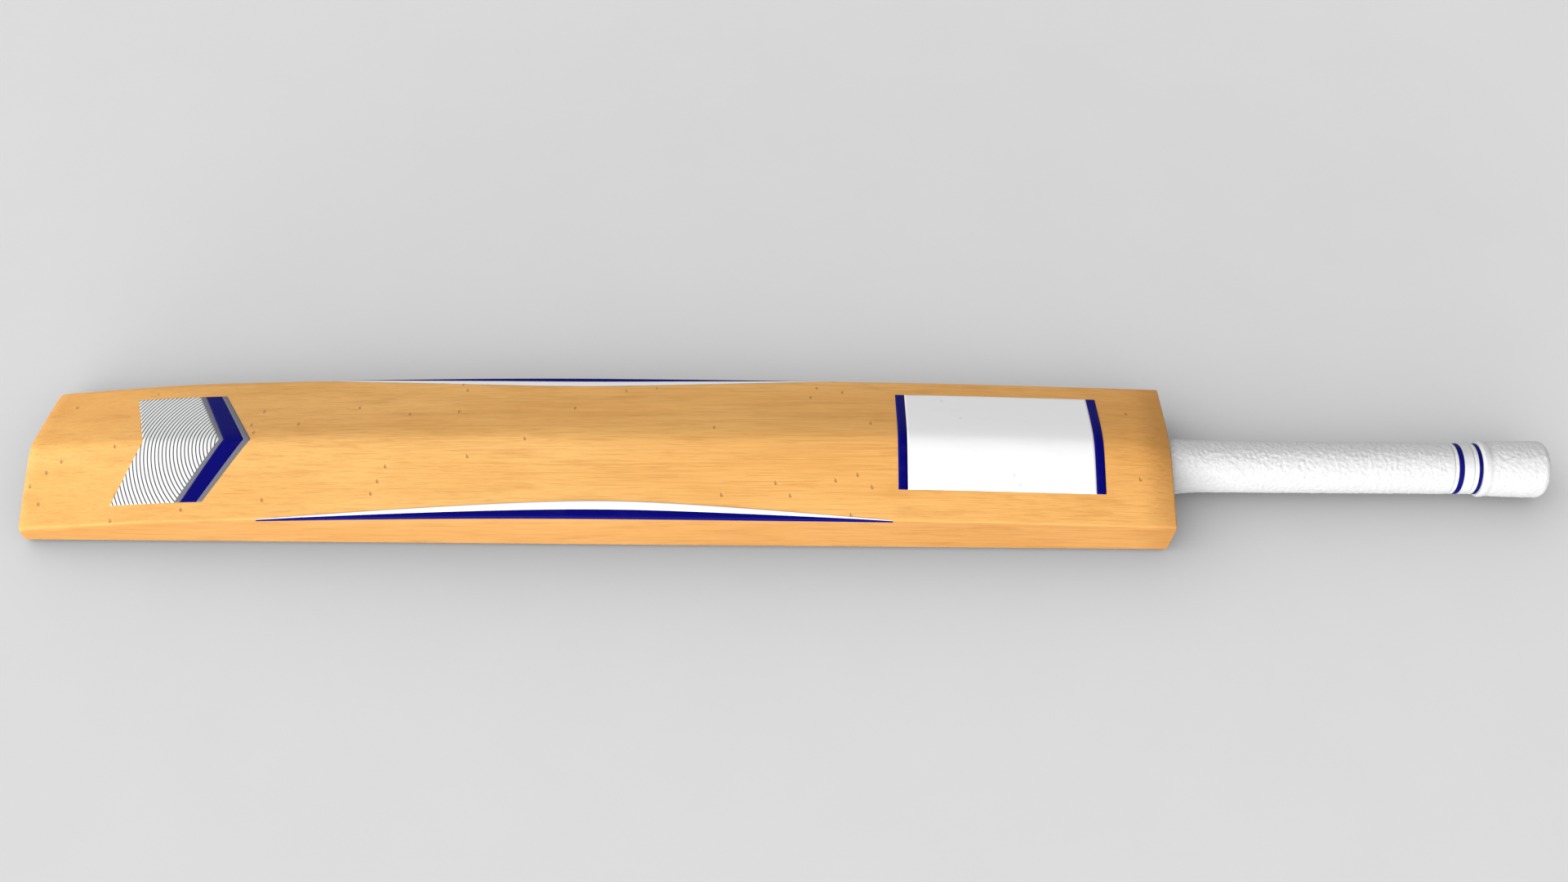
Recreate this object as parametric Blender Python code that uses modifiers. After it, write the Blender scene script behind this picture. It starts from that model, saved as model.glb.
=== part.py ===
"""Cricket bat resting on its hitting face.

A willow blade carries a V splice. Twelve cane strips and three rubber springs form the handle core,
bound with twine under a rubber sleeve, two navy bands round a white one, and an end cap. Thin printed
labels lie on the spine and along both edges. Metres, +Z up, toe towards -X, handle towards +X,
origin on the floor below the middle of the bat.
"""
import math

import bmesh
import bpy

# ---- driving dimensions, metres ----
LENGTH = 0.965               # toe tip to end of cap
BLADE_LEN = 0.724            # toe tip to shoulder
HALF_W = 0.054               # half the blade width
GAP = 0.0003                 # clearance kept between touching pieces
LABEL_T = 0.0003             # thickness of a printed label

# Profiles along the blade: (fraction of blade length, height above the floor)
SPINE = ((0.0, 0.0300), (0.16, 0.0399), (0.5, 0.0473), (0.76, 0.0496), (0.93, 0.0464), (1.0, 0.0438))
EDGE = ((0.0, 0.0147), (0.16, 0.0273), (0.5, 0.0356), (0.76, 0.0340), (0.93, 0.0305), (1.0, 0.0286))
RIDGE_BLEND = ((0.0, 0.0037), (1.0, 0.0112))   # how softly the two flanks meet at the spine
EDGE_ROUND = ((0.0, 0.0025), (0.2, 0.0012), (1.0, 0.0012))   # back corner radius
FACE_FLAT = 0.024            # half-width of the flat strip down the hitting face
FACE_RISE = 0.0014           # how far the face lifts off the floor at its edges
FACE_ROUND = 0.0042          # radius between face and edge
TOE_BOW = 0.0008             # how far the middle of the toe stands ahead of its corners
TOE_CORNER = 0.0030          # plan radius of the toe corners
END_ROUND = 0.0012           # radius round the toe and shoulder ends
TOE_ROLL = 0.008             # length over which the back rolls down to the toe
TOE_DROP = 0.0014            # how far it rolls down
SHOULDER_ROLL = 0.022        # length over which the spine rolls down to the shoulder
SHOULDER_DROP = 0.0036       # how far it rolls down
SHOULDER_LEAN = 0.0024       # how far the shoulder's end leans back from the edge's top to the face
LEAN_LEN = 0.05              # length over which that lean grows
BOW_LEN = 0.05               # length over which the toe's bow dies away

# Handle
AXIS_H = 0.0184              # height of the handle axis
CORE_R = 0.0135              # cane core
TWINE_R = 0.0142             # outside of the twine binding
GRIP_R = 0.0165              # rubber sleeve where its flare ends
BAND_R = 0.0162              # bands, and the sleeve where it meets them
FLARE_R = 0.0184             # sleeve at the shoulder, where it touches the floor
FLARE_LEN = 0.022
CAP_R = 0.0180
SPLICE_LEN = 0.160           # depth of the V splice into the blade
SPLICE_TIP = 0.0030          # half-width of the splice at its tip
SPLICE_TOP = 0.0276          # height of the splice's flat back, inside the willow
SPRING_T = 0.0009            # thickness of each rubber spring
STRIP_GAP = 0.0002
SLABS = 4
LAYERS = ("top", "middle", "bottom")
LAYER_HALF = 0.0045          # half-height of the middle layer of strips

# Stations of the sleeve, bands and cap, measured from the toe tip
GRIP_END = 0.9069
BAND_1 = (0.9072, 0.9100)
BAND_2 = (0.9103, 0.9195)
BAND_3 = (0.9198, 0.9217)
CAP_START = 0.9220
CAP_LIP = 0.0050             # length of the smooth lip before the cap's body
CAP_WALL = 0.0030            # thickness of the cap's end
CAP_ROUND = 0.0045           # radius round the cap's end

# Labels: each is stuck a little off the middle of the blade
PANEL_HALF_W = 0.0373
PANEL_OFFSET = 0.0026
SHOULDER_PANEL = (0.5516, 0.6807)
PANEL_BAND = 0.0058
CHEVRON_HALF_W = 0.0409
CHEVRON_OFFSET = -0.0010
# Chevron outlines from the toe end on: (distance from the toe at the sides, at the ridge)
CHEVRON_BACK = (0.0598, 0.0748)
CHEVRON_FIELD_END = (0.1010, 0.1237)
CHEVRON_NAVY_START = (0.1047, 0.1266)
CHEVRON_NAVY_END = (0.1151, 0.1395)
CHEVRON_TIP = (0.1184, 0.1437)

# Edge flashes: toe-side end, widest point, handle-side end, widest navy, widest navy and white
FLASHES = {"near": (0.154, 0.369, 0.548, 0.0048, 0.0102),
           "far": (0.174, 0.347, 0.514, 0.0036, 0.0079)}
FLASH_EDGE = 0.0005          # how far in from the side they stop
FLASH_TIP = 0.08             # a flash's width at its tips, as a share of its widest
FLASH_BLEND = 0.25           # how soft the widest point is, as a share of the length to either side

X_TOE = -LENGTH / 2


def interp(knots, t):
    """Smooth monotone interpolation through (t, value) knots."""
    n = len(knots)
    slope = [(knots[i + 1][1] - knots[i][1]) / (knots[i + 1][0] - knots[i][0]) for i in range(n - 1)]
    tangent = [slope[0]] + [0.0] * (n - 2) + [slope[-1]]
    for i in range(1, n - 1):
        if slope[i - 1] * slope[i] > 0:
            tangent[i] = 2 * slope[i - 1] * slope[i] / (slope[i - 1] + slope[i])
    t = min(max(t, knots[0][0]), knots[-1][0])
    i = max(k for k in range(n - 1) if knots[k][0] <= t)
    h = knots[i + 1][0] - knots[i][0]
    u = (t - knots[i][0]) / h
    a, b = knots[i][1], knots[i + 1][1]
    return (a * (2 * u ** 3 - 3 * u ** 2 + 1) + b * (3 * u ** 2 - 2 * u ** 3)
            + h * tangent[i] * (u ** 3 - 2 * u ** 2 + u) + h * tangent[i + 1] * (u ** 3 - u ** 2))


def quarter(distance, radius):
    """Drop of a quarter round of this radius, this far from the end it rounds."""
    if distance >= radius:
        return 0.0
    return radius - math.sqrt(radius ** 2 - (radius - max(distance, 0.0)) ** 2)


def half_width(s):
    """Half-width of the blade at distance s from the toe."""
    return HALF_W - quarter(s, TOE_CORNER) - 0.4 * quarter(BLADE_LEN - s, END_ROUND)


def end_inset(s):
    """How much the back and face are drawn in by the softened ends."""
    return quarter(s, END_ROUND) + quarter(BLADE_LEN - s, END_ROUND)


def spine_height(s):
    roll = max(0.0, 1 - (BLADE_LEN - s) / SHOULDER_ROLL)
    return interp(SPINE, s / BLADE_LEN) - SHOULDER_DROP * roll ** 2


def edge_height(s):
    return interp(EDGE, s / BLADE_LEN)


def back_height(s, y):
    """Height of the back at distance s from the toe and y from the middle: two flanks blended at the spine."""
    blend = interp(RIDGE_BLEND, s / BLADE_LEN)
    top, low = spine_height(s), edge_height(s)
    fall = (math.hypot(y, blend) - blend) / (math.hypot(HALF_W, blend) - blend)
    toe_roll = TOE_DROP * max(0.0, 1 - s / TOE_ROLL) ** 2
    return top - (top - low) * fall - toe_roll - end_inset(s)


def drape_height(s, y):
    """Height of the back with its rounded corners: what a label lies on."""
    return back_height(s, y) - quarter(HALF_W - abs(y), interp(EDGE_ROUND, s / BLADE_LEN))


def shear(s, y):
    """Part-frame x of a station: the toe end is bowed in plan."""
    bow = TOE_BOW * (y / HALF_W) ** 2 * max(0.0, 1 - s / BOW_LEN)
    return X_TOE + s + bow


def lean(s, z):
    """How far a point of the blade is drawn back from the shoulder by the lean of its end."""
    return SHOULDER_LEAN * max(0.0, 1 - z / edge_height(s)) * max(0.0, 1 - (BLADE_LEN - s) / LEAN_LEN)


def blade_section(s):
    """Half of the outline, from the middle of the face round to the ridge: (y, z) pairs."""
    w = half_width(s)
    inset = end_inset(s)
    points = [(0.0, inset), (FACE_FLAT / 2, inset), (FACE_FLAT, inset)]
    inner = w - FACE_ROUND
    for i in (1, 2, 3):
        u = i / 4
        points.append((FACE_FLAT + u * (inner - FACE_FLAT), inset + FACE_RISE * u ** 2))
    for i in range(5):
        a = math.radians(-90 + 22.5 * i)
        points.append((inner + FACE_ROUND * math.cos(a), inset + FACE_RISE + FACE_ROUND * (1 + math.sin(a))))
    r = interp(EDGE_ROUND, s / BLADE_LEN)
    corner = back_height(s, w - r)
    for i in range(5):
        a = math.radians(20 * i)
        points.append((w - r + r * math.cos(a), corner - r + r * math.sin(a)))
    for fraction in (1.0, 0.8, 0.6, 0.45, 0.32, 0.22, 0.14, 0.07, 0.0):
        y = (w - r) * fraction
        points.append((y, back_height(s, y)))
    return points


def new_collection(name):
    coll = bpy.data.collections.new(name)
    bpy.context.scene.collection.children.link(coll)
    return coll


def material(name, colour, roughness, metallic=0.0):
    mat = bpy.data.materials.new(name)
    mat.use_nodes = True
    shader = mat.node_tree.nodes["Principled BSDF"]
    shader.inputs["Base Color"].default_value = (*colour, 1.0)
    shader.inputs["Roughness"].default_value = roughness
    shader.inputs["Metallic"].default_value = metallic
    mat.diffuse_color = (*colour, 1.0)
    return mat


def add_object(name, bm, coll, mat=None, parent=None):
    """Turn a bmesh into a named object of a collection."""
    bmesh.ops.recalc_face_normals(bm, faces=bm.faces)
    mesh = bpy.data.meshes.new(name)
    bm.to_mesh(mesh)
    bm.free()
    obj = bpy.data.objects.new(name, mesh)
    coll.objects.link(obj)
    if mat:
        mesh.materials.append(mat)
    if parent:
        obj.parent = parent
    return obj


def boolean(target, tool, operation):
    mod = target.modifiers.new(f"{operation.lower()}_{tool.name}", "BOOLEAN")
    mod.object = tool
    mod.operation = operation
    mod.solver = "EXACT"
    return mod


def stations():
    """Distances from the toe at which the blade is sectioned: close together near both ends."""
    near_toe = [0.0, 0.0001, 0.0005, 0.0012, 0.0022, 0.0035, 0.0055, 0.0085]
    body = [0.016 + 0.0290 * i for i in range(25)]
    near_shoulder = [BLADE_LEN - d for d in (0.022, 0.017, 0.012, 0.007, 0.004, 0.0024, 0.0012, 0.0005, 0.0)]
    body = [s for s in body if s < near_shoulder[0] - 0.005]
    return near_toe + body + near_shoulder


def loft(rings):
    """Closed body through rings of equal point count, capped at both ends."""
    bm = bmesh.new()
    loops = [[bm.verts.new(p) for p in ring] for ring in rings]
    count = len(loops[0])
    for a, b in zip(loops, loops[1:]):
        for i in range(count):
            j = (i + 1) % count
            bm.faces.new((a[i], a[j], b[j], b[i]))
    bm.faces.new(loops[0])
    bm.faces.new(loops[-1])
    return bm


def blade_ring(s):
    half = blade_section(s)
    left = [(shear(s, y) - lean(s, z), y, z) for y, z in half]
    right = [(shear(s, y) - lean(s, z), -y, z) for y, z in half[-2:0:-1]]
    return left + right


def splice_half_width(s, clearance=0.0):
    """Half-width of the V splice at distance s from the toe."""
    u = (s - (BLADE_LEN - SPLICE_LEN)) / SPLICE_LEN
    return SPLICE_TIP + (CORE_R - SPLICE_TIP) * u + clearance


def wedge(name, coll, clearance, bottom, over):
    """V-shaped prism of the splice; over lets a cutter run out past the shoulder."""
    tip = BLADE_LEN - SPLICE_LEN
    end = BLADE_LEN + over
    top = SPLICE_TOP + clearance
    bm = bmesh.new()
    outline = [(tip - clearance, -SPLICE_TIP - clearance), (end, -splice_half_width(end, clearance)),
               (end, splice_half_width(end, clearance)), (tip - clearance, SPLICE_TIP + clearance)]
    face = bm.faces.new([bm.verts.new((X_TOE + s, y, bottom)) for s, y in outline])
    lifted = bmesh.ops.extrude_face_region(bm, geom=[face])
    moved = [v for v in lifted["geom"] if isinstance(v, bmesh.types.BMVert)]
    bmesh.ops.translate(bm, verts=moved, vec=(0, 0, top - bottom))
    return add_object(name, bm, coll)


def turned(name, profile, coll, mat, parent=None, segments=40):
    """Body of revolution about the handle axis, by a Screw of (station, radius) pairs.

    The pairs run round the profile with the outer side taken from the handle end towards the toe.
    """
    bm = bmesh.new()
    verts = [bm.verts.new((r, 0.0, -s)) for s, r in reversed(profile)]
    for a, b in zip(verts, verts[1:]):
        bm.edges.new((a, b))
    bm.edges.new((verts[-1], verts[0]))
    mesh = bpy.data.meshes.new(name)
    bm.to_mesh(mesh)
    bm.free()
    obj = bpy.data.objects.new(name, mesh)
    coll.objects.link(obj)
    mesh.materials.append(mat)
    obj.location = (X_TOE, 0.0, AXIS_H)
    obj.rotation_euler = (0.0, -math.pi / 2, 0.0)
    screw = obj.modifiers.new("turn", "SCREW")
    screw.axis = "Z"
    screw.steps = segments
    screw.render_steps = segments
    screw.use_merge_vertices = True
    screw.merge_threshold = 0.00005
    if parent:
        obj.parent = parent
        obj.matrix_parent_inverse = parent.matrix_world.inverted()
    return obj


def label(name, along, across, coll, mat, parent, rows=8, columns=8):
    """Thin sheet draped on the back.

    across maps v in 0..1 to y, along maps (u, y) with u in 0..1 to the distance from the toe.
    A unit grid is bent to the outline and laid on the back, then thickened.
    """
    bm = bmesh.new()
    bmesh.ops.create_grid(bm, x_segments=columns, y_segments=rows, size=0.5)
    for v in bm.verts:
        y = across(v.co.y + 0.5, v.co.x + 0.5)
        s = along(v.co.x + 0.5, y)
        v.co = (shear(s, y), y, drape_height(s, y) + GAP)
    obj = add_object(name, bm, coll, mat, parent)
    for poly in obj.data.polygons:
        if poly.normal.z < 0:
            obj.data.flip_normals()
            break
    solid = obj.modifiers.new("thickness", "SOLIDIFY")
    solid.thickness = LABEL_T
    solid.offset = 1.0
    return obj


for old in list(bpy.data.objects):
    bpy.data.objects.remove(old, do_unlink=True)

bat = new_collection("cricket_bat")
cutters = new_collection("cutters")

willow = material("willow", (0.80, 0.49, 0.22), 0.5)
cane = material("cane", (0.72, 0.54, 0.28), 0.5)
spring_rubber = material("spring_rubber", (0.09, 0.08, 0.08), 0.7)
twine = material("twine", (0.70, 0.64, 0.50), 0.8)
white_rubber = material("white_rubber", (0.82, 0.82, 0.83), 0.6)
navy_rubber = material("navy_rubber", (0.01, 0.01, 0.16), 0.5)
label_white = material("label_white", (0.90, 0.90, 0.90), 0.4)
label_navy = material("label_navy", (0.01, 0.01, 0.16), 0.4)
label_grey = material("label_grey", (0.23, 0.23, 0.31), 0.4)

# ---- blade, with the V socket left open at the shoulder and on the face ----
blade = add_object("blade", loft([blade_ring(s) for s in stations()]), bat, willow)
socket = wedge("splice_socket_cutter", cutters, GAP, -0.001, 0.002)
boolean(blade, socket, "DIFFERENCE")

# ---- handle core: strips and springs cut to one envelope of wedge and round core ----
core_start = BLADE_LEN + GAP
core_end = LENGTH - CAP_WALL - GAP
envelope = wedge("splice_envelope", cutters, 0.0, 0.0, 0.0)
neck_r = SPLICE_TOP - AXIS_H - GAP
round_core = turned("core_envelope", [(core_end, 0.0), (core_end, CORE_R), (core_start, CORE_R),
                                      (core_start, neck_r), (core_start - 0.002, neck_r),
                                      (core_start - 0.002, 0.0)], cutters, cane, segments=48)
boolean(envelope, round_core, "UNION")


def core_piece(name, y0, y1, z0, z1, start, mat):
    """Box between the given limits, cut to the envelope."""
    bm = bmesh.new()
    bmesh.ops.create_cube(bm, size=1.0)
    for v in bm.verts:
        v.co.x = X_TOE + (start if v.co.x < 0 else LENGTH)
        v.co.y = y0 if v.co.y < 0 else y1
        v.co.z = z0 if v.co.z < 0 else z1
    obj = add_object(name, bm, bat, mat, blade)
    boolean(obj, envelope, "INTERSECT")
    return obj


pitch = 2 * CORE_R / SLABS
side_room = SPRING_T / 2 + STRIP_GAP
layer_cuts = (AXIS_H + 0.02, AXIS_H + LAYER_HALF, AXIS_H - LAYER_HALF, -0.01)
for slab in range(SLABS):
    low = -CORE_R + slab * pitch
    y0 = low + side_room if slab else low - 0.001
    y1 = low + pitch - side_room if slab < SLABS - 1 else low + pitch + 0.001
    nearest = min(abs(y0), abs(y1))
    reach = (nearest + 0.0012 - SPLICE_TIP) / (CORE_R - SPLICE_TIP) * SPLICE_LEN
    start = BLADE_LEN - SPLICE_LEN + max(reach, -0.001)
    for i, layer in enumerate(LAYERS):
        core_piece(f"cane_strip_{slab + 1}_{layer}", y0, y1, layer_cuts[i + 1] + STRIP_GAP / 2,
                   layer_cuts[i] - STRIP_GAP / 2, start, cane)
for i in range(1, SLABS):
    middle = -CORE_R + i * pitch
    reach = (abs(middle) + 0.0012 - SPLICE_TIP) / (CORE_R - SPLICE_TIP) * SPLICE_LEN
    core_piece(f"rubber_spring_{i}", middle - SPRING_T / 2, middle + SPRING_T / 2, -0.01, AXIS_H + 0.02,
               BLADE_LEN - SPLICE_LEN + max(reach, -0.001), spring_rubber)

# ---- twine binding: a ribbed sleeve ----
RIBS = 36
twine_start = core_start + 0.001
twine_end = GRIP_END - 0.004
rib = (twine_end - twine_start) / RIBS
twine_in = CORE_R + GAP
twine_profile = [(twine_end, twine_in), (twine_end, twine_in + 0.0002)]
for i in range(RIBS):
    base = twine_end - i * rib
    twine_profile.append((base - rib * 0.5, TWINE_R))
    twine_profile.append((base - rib, twine_in + 0.0002))
twine_profile.append((twine_start, twine_in))
turned("twine_binding", twine_profile, bat, twine, blade, segments=24)

# ---- rubber sleeve, bands and cap ----
sleeve_in = TWINE_R + GAP
lip = 0.0005
flare = [(core_start + FLARE_LEN * t, GRIP_R + (FLARE_R - GRIP_R) * (1 - t) ** 1.3) for t in (1, 0.85, 0.65, 0.4)]
grip_profile = [(GRIP_END, sleeve_in), (GRIP_END, BAND_R - lip), (GRIP_END - lip, BAND_R)]
grip_profile += flare + [(core_start + lip, FLARE_R), (core_start, FLARE_R - lip), (core_start, sleeve_in)]
turned("grip_sleeve", grip_profile, bat, white_rubber, blade, segments=56)


def band(name, span, radius, mat):
    start, end = span
    soft = 0.0003
    profile = [(end, CORE_R + GAP), (end, radius - soft), (end - soft, radius),
               (start + soft, radius), (start, radius - soft), (start, CORE_R + GAP)]
    return turned(name, profile, bat, mat, blade, segments=56)


band("grip_band_lower_navy", BAND_1, BAND_R, navy_rubber)
band("grip_band_middle_white", BAND_2, BAND_R, white_rubber)
band("grip_band_upper_navy", BAND_3, BAND_R, navy_rubber)

cap_in = CORE_R + GAP
cap_round = []
for degrees in (90, 67.5, 45, 22.5, 0):
    a = math.radians(degrees)
    cap_round.append((LENGTH - CAP_ROUND * (1 - math.sin(a)), CAP_R - CAP_ROUND * (1 - math.cos(a))))
cap_profile = [(LENGTH - CAP_WALL, 0.0), (LENGTH, 0.0)] + cap_round
cap_profile += [(CAP_START + CAP_LIP + 0.0008, CAP_R), (CAP_START + CAP_LIP + 0.0004, CAP_R - 0.0003),
                (CAP_START + CAP_LIP, CAP_R), (CAP_START + 0.0008, CAP_R), (CAP_START, CAP_R - 0.0008),
                (CAP_START, cap_in), (LENGTH - CAP_WALL, cap_in)]
turned("handle_end_cap", cap_profile, bat, white_rubber, blade, segments=56)


# ---- shoulder label ----
def rectangle(name, start, end, mat, columns):
    label(name, lambda u, y: start + (end - start) * u,
          lambda v, u: PANEL_HALF_W * (2 * v - 1) + PANEL_OFFSET, bat, mat, blade, rows=14, columns=columns)


panel_start, panel_end = SHOULDER_PANEL
rectangle("shoulder_label_toe_side_navy_band", panel_start, panel_start + PANEL_BAND, label_navy, 2)
rectangle("shoulder_label_white_panel", panel_start + PANEL_BAND + GAP, panel_end - PANEL_BAND - GAP,
          label_white, 10)
rectangle("shoulder_label_handle_side_navy_band", panel_end - PANEL_BAND, panel_end, label_navy, 2)


# ---- toe label: a chevron whose point is towards the handle ----
def chevron_line(outline, y):
    """Distance from the toe of a chevron outline at y."""
    side, ridge = outline
    return ridge + (side - ridge) * abs(y - CHEVRON_OFFSET) / CHEVRON_HALF_W


def chevron_piece(name, first, last, mat, columns):
    """Piece of the chevron between two outlines, stopped a gap short of the second."""

    def along(u, y):
        start = chevron_line(first, y)
        return start + (chevron_line(last, y) - GAP - start) * u

    label(name, along, lambda v, u: CHEVRON_HALF_W * (2 * v - 1) + CHEVRON_OFFSET, bat, mat, blade,
          rows=14, columns=columns)


chevron_piece("toe_label_white_field", CHEVRON_BACK, CHEVRON_FIELD_END, label_white, 8)
chevron_piece("toe_label_inner_grey_trim", CHEVRON_FIELD_END, CHEVRON_NAVY_START, label_grey, 2)
chevron_piece("toe_label_navy_band", CHEVRON_NAVY_START, CHEVRON_NAVY_END, label_navy, 2)
chevron_piece("toe_label_outer_grey_trim", CHEVRON_NAVY_END, CHEVRON_TIP, label_grey, 2)


# ---- edge flashes: navy against the edge, white inside it, widest a little past half way ----
def flash(name, side, sizes, inset, width_from, width_to, mat):
    """Crescent along an edge: its two sides lie at the given widths times a hump, plus the inset."""
    start, apex, end = sizes[:3]

    def across(v, u):
        s = start + (end - start) * u
        t = (apex - s) / (apex - start) if s < apex else (s - apex) / (end - apex)
        hump = 1 - (math.hypot(t, FLASH_BLEND) - FLASH_BLEND) / (math.hypot(1, FLASH_BLEND) - FLASH_BLEND)
        width = (width_from + (width_to - width_from) * v) * (FLASH_TIP + (1 - FLASH_TIP) * hump)
        return side * (HALF_W - inset - width)

    label(name, lambda u, y: start + (end - start) * u, across, bat, mat, blade, rows=2, columns=28)


for side, where in ((-1, "near"), (1, "far")):
    sizes = FLASHES[where]
    flash(f"edge_flash_{where}_navy", side, sizes, FLASH_EDGE, 0.0, sizes[3], label_navy)
    flash(f"edge_flash_{where}_white", side, sizes, FLASH_EDGE + GAP, sizes[3], sizes[4], label_white)

for obj in cutters.objects:
    obj.hide_render = True
    obj.display_type = "WIRE"
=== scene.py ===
"""Looks of the cricket bat: fine willow, rubber, printed labels, studio floor, light and camera.

Metres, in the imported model's frame: toe towards -X, handle towards +X, spine up, floor at z = 0.
Distances called s run along the bat from the toe tip.
"""

import math
import random

import bmesh
import bpy
import numpy as np
from mathutils import Matrix, Vector, noise


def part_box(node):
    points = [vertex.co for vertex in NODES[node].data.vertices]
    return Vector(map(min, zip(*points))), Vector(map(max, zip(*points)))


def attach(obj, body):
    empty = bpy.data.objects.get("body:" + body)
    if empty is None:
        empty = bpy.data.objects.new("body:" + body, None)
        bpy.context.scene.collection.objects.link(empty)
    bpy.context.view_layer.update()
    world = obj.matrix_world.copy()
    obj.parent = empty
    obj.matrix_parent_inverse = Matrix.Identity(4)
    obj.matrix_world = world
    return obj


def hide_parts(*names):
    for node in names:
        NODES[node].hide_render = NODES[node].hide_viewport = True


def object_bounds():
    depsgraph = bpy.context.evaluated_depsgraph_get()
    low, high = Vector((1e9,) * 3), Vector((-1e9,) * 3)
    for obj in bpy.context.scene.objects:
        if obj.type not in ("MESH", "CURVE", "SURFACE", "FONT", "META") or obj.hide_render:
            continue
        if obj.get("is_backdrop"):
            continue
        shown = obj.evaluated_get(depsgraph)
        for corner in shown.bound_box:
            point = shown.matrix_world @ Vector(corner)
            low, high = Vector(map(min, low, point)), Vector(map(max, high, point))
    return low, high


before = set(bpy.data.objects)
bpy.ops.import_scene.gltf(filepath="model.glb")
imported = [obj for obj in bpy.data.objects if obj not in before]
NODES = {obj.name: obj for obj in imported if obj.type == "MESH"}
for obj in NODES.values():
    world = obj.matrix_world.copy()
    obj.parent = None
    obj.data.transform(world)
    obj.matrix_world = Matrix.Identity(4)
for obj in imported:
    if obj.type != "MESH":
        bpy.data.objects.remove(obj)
cad_low, cad_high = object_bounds()

# ---- sizes taken from the frame ----
X_TOE = cad_low[0]
BLADE_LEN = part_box("blade")[1][0] - X_TOE
HALF_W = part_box("blade")[1][1]


def span(node):
    """Where a node starts and ends, as distances from the toe tip."""
    low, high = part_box(node)
    return low[0] - X_TOE, high[0] - X_TOE


def radius_of(node):
    low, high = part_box(node)
    return (high[2] - low[2]) / 2


AXIS_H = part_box("handle_end_cap")[0][2] + radius_of("handle_end_cap")
CAP_R = radius_of("handle_end_cap")
BAND_R = radius_of("grip_band_lower_navy")
CORE_R = -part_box("cane_strip_1_middle")[0][1]
CORE_END = span("cane_strip_1_middle")[1]
GRIP_START, GRIP_END = span("grip_sleeve")
CAP_START, CAP_END = span("handle_end_cap")
CLEARANCE = 0.0003           # between touching CAD pieces
GRIP_BORE = radius_of("twine_binding") + CLEARANCE
CORE_BORE = CORE_R + CLEARANCE

# ---- the blade's profiles, as in the CAD part: (fraction of blade length, metres) ----
SPINE = ((0.0, 0.0300), (0.16, 0.0399), (0.5, 0.0473), (0.76, 0.0496), (0.93, 0.0464), (1.0, 0.0438))
EDGE = ((0.0, 0.0147), (0.16, 0.0273), (0.5, 0.0356), (0.76, 0.0340), (0.93, 0.0305), (1.0, 0.0286))
RIDGE_BLEND = ((0.0, 0.0037), (1.0, 0.0112))
EDGE_ROUND = ((0.0, 0.0025), (0.2, 0.0012), (1.0, 0.0012))
FACE_FLAT = 0.024
FACE_RISE = 0.0014
FACE_ROUND = 0.0042
TOE_BOW = 0.0008
TOE_BOW_LEN = 0.05
TOE_CORNER = 0.0030
END_ROUND = 0.0012
TOE_ROLL = 0.008
TOE_DROP = 0.0014
SHOULDER_ROLL = 0.022
SHOULDER_DROP = 0.0036
SHOULDER_LEAN = 0.0024
LEAN_LEN = 0.05
SHOULDER_SIDE = 0.4          # share of the end's rounding that the sides take at the shoulder
SPLICE_TIP = 0.0030
CUT_OVER = 0.002             # how far the splice's cutter runs out past the shoulder
CUT_UNDER = 0.001            # and below the face
ROW_PITCH = 0.00128          # spacing of the fine blade's sections
DENT_COUNT = 70
SIDE_WEAR = 0.00012
SIDE_WEAR_SCALE = 60
SMOOTH_ANGLE = math.radians(40)

# ---- handle ----
GRIP_R = 0.0165              # sleeve where its flare ends; it narrows a little towards the bands
FLARE_R = 0.0184
FLARE_LEN = 0.022
FLARE_POWER = 1.3            # 1 would be a straight cone
GRIP_LIP = 0.0005
BAND_SOFT = 0.0002
CAP_LIP = 0.0050
CAP_LIP_ROUND = 0.0018
CAP_ROUND = 0.0045
BAND_GROOVE = 0.73           # where the white band's groove is, as a share of the band

# ---- labels ----
FILM_T = 0.00012
FILM_LIFT = 0.00005
FILM_PITCH = 0.0012
FILM_RELIEF = 0.00015
PANEL_GROW = 0.00014         # added to each end of the white panel's film, about half its gap to a navy band
CHEVRON_HALF_W = 0.0409
CHEVRON_OFFSET = -0.0010
CHEVRON_BACK = (0.0598, 0.0748)
CHEVRON_FIELD_END = (0.1010, 0.1237)
CHEVRON_NAVY_START = (0.1047, 0.1266)
CHEVRON_NAVY_END = (0.1151, 0.1395)
CHEVRON_TIP = (0.1184, 0.1437)
ARC_CENTRE = (0.1422, -0.0026)     # the white field's arcs run round this point: s, y
ARC_PITCH = 0.00237
ARC_LINE = 0.31                    # share of the pitch that is dark
ARC_START = 0.0018
FLASHES = {"near": (0.154, 0.369, 0.548, 0.0048, 0.0102),
           "far": (0.174, 0.347, 0.514, 0.0036, 0.0079)}
FLASH_EDGE = 0.0002
FLASH_WRAP = 0.0006          # how far the navy runs over the corner and down the side
FLASH_TIP = 0.02
FLASH_BLEND = 0.25
FLASH_ROWS = 9
FLASH_COLUMNS = 330
WRAP_ROWS = 4

# ---- rubber texture ----
GRIP_PITCH = 0.0005
GROOVE_DEPTH = 0.00045
GROOVE_WIDTH = 0.00045
GRIP_GROOVE_AT = 0.0021      # the sleeve's groove, before its end
CAP_STEP = 0.00065           # how far the cap's body steps in behind its lip
CAP_STEP_SOFT = 0.0005
CAP_SWELL = 1.3              # the body swells back to full radius before its end rounds off
CAP_HOLE = 0.0003            # radius of the tiny faces that close the cap on the axis
PEBBLE_DEPTH = 0.00032
PEBBLE_COARSE = 430
PEBBLE_FINE = 900
PEBBLE_FINE_SHARE = 0.6
GRIP_SMOOTH_END = 0.0035     # length of sleeve without texture before the first ring
GRIP_FADE = 0.004
CAP_FADE = 0.003
AROUND = 208                 # points round each turned piece

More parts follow.
